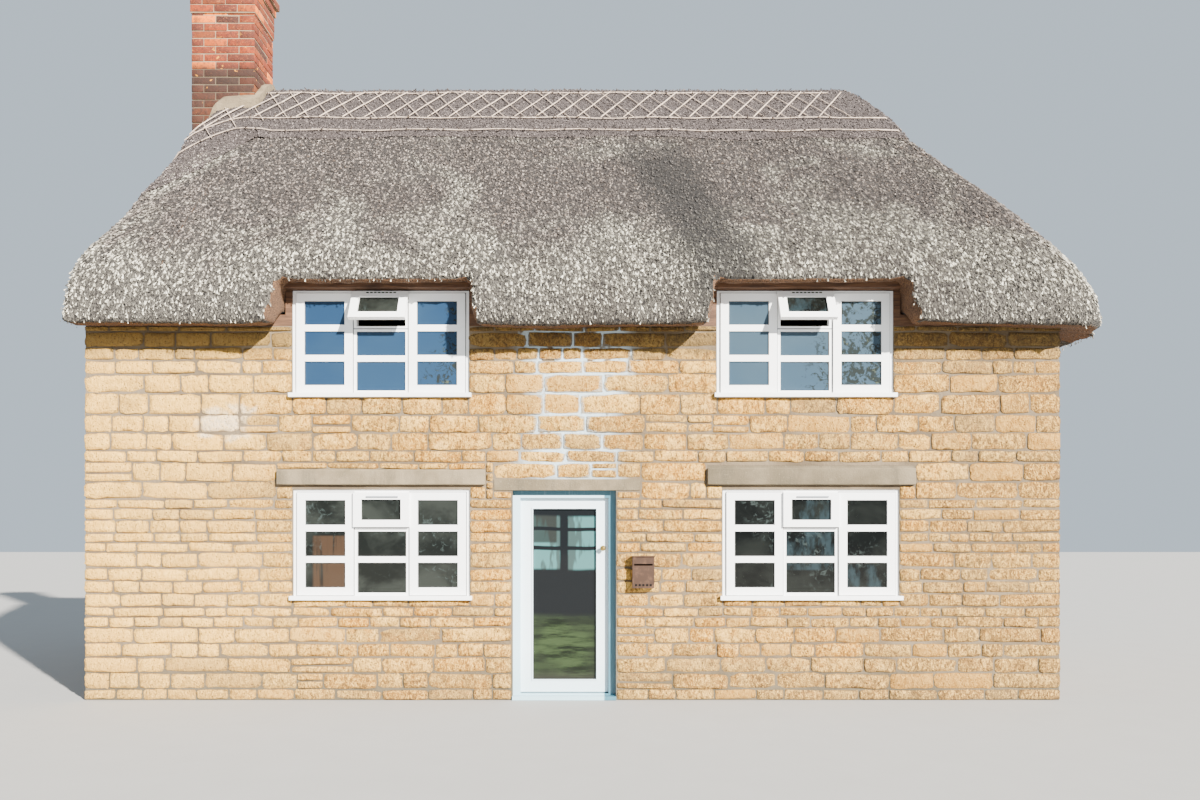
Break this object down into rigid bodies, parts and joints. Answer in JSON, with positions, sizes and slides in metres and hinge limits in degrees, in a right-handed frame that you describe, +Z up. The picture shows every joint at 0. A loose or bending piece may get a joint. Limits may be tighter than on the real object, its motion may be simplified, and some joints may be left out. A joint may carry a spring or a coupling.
{
  "type": "thatched stone cottage",
  "caption": "Two-storey rubble stone cottage with hipped thatch, hoods over the upper windows, brick end chimney and a glazed front door that opens inwards.",
  "frame": {"origin": "on the ground, under the middle of the thatch's plan", "axes": "+Z up; the front wall with the door faces -Y; +X runs along the front towards the hipped end, away from the chimney"},
  "size_m": [8.94, 5.64, 7.75],
  "materials": {
    "stone": "coursed rubble with lime mortar",
    "lintel_stone": "weathered dressed stone",
    "flagstone": "worn flagstones",
    "boards": "floor boards and plaster ceiling",
    "timber": "brown stained timber",
    "white_paint": "white gloss paint",
    "frame_paint": "duck egg blue paint",
    "door_paint": "pale duck egg blue paint",
    "window_glass": "clear double glazing",
    "brass": "polished",
    "brown_metal": "bronze brown paint",
    "thatch": "weathered straw thatch",
    "cap_thatch": "straw ridge with hazel rods",
    "brick": "old handmade red brick",
    "mortar": "trowelled mortar"
  },
  "bodies": {
    "cottage": {"front_wall_left": "stone", "front_wall_right": "stone", "front_wall_over_door": "stone", "back_wall": "stone", "left_gable_wall": "stone", "right_end_wall": "stone", "ground_floor": "flagstone", "upper_floor": "boards", "left_window_lintel": "lintel_stone", "right_window_lintel": "lintel_stone", "door_lintel": "lintel_stone", "back_left_lintel": "lintel_stone", "back_right_lintel": "lintel_stone", "front_plate_left": "timber", "front_plate_middle": "timber", "front_plate_right": "timber", "back_plate": "timber", "left_hood_surround": "timber", "right_hood_surround": "timber", "upper_left_window_frame": "white_paint", "upper_left_window_glass": "window_glass", "upper_left_window_left_casement": "white_paint", "upper_left_window_right_casement": "white_paint", "upper_left_window_vent": "white_paint", "upper_right_window_frame": "white_paint", "upper_right_window_glass": "window_glass", "upper_right_window_left_casement": "white_paint", "upper_right_window_right_casement": "white_paint", "upper_right_window_vent": "white_paint", "lower_left_window_frame": "white_paint", "lower_left_window_glass": "window_glass", "lower_left_window_left_casement": "white_paint", "lower_left_window_right_casement": "white_paint", "lower_left_window_vent": "white_paint", "lower_right_window_frame": "white_paint", "lower_right_window_glass": "window_glass", "lower_right_window_left_casement": "white_paint", "lower_right_window_right_casement": "white_paint", "lower_right_window_vent": "white_paint", "back_lower_left_window_frame": "white_paint", "back_lower_left_window_glass": "window_glass", "back_lower_right_window_frame": "white_paint", "back_lower_right_window_glass": "window_glass", "back_upper_left_window_frame": "white_paint", "back_upper_left_window_glass": "window_glass", "back_upper_right_window_frame": "white_paint", "back_upper_right_window_glass": "window_glass", "door_frame": "frame_paint", "letter_box": "brown_metal", "front_thatch": "thatch", "back_thatch": "thatch", "right_hip_thatch": "thatch", "left_end_thatch": "thatch", "ridge_cap": "cap_thatch", "chimney_stack": "brick", "chimney_cap": "brick", "mortar_fillet": "mortar"},
    "door": {"door_leaf": "door_paint", "door_glass": "window_glass", "door_knob": "brass"}
  },
  "joints": [
    {"name": "front_door_hinge", "type": "hinge", "parent": "cottage", "child": "door", "pos_m": [-0.614, -2.3375, 0.93], "axis": [0, 0, 1], "range_deg": [0, 90]}
  ]
}
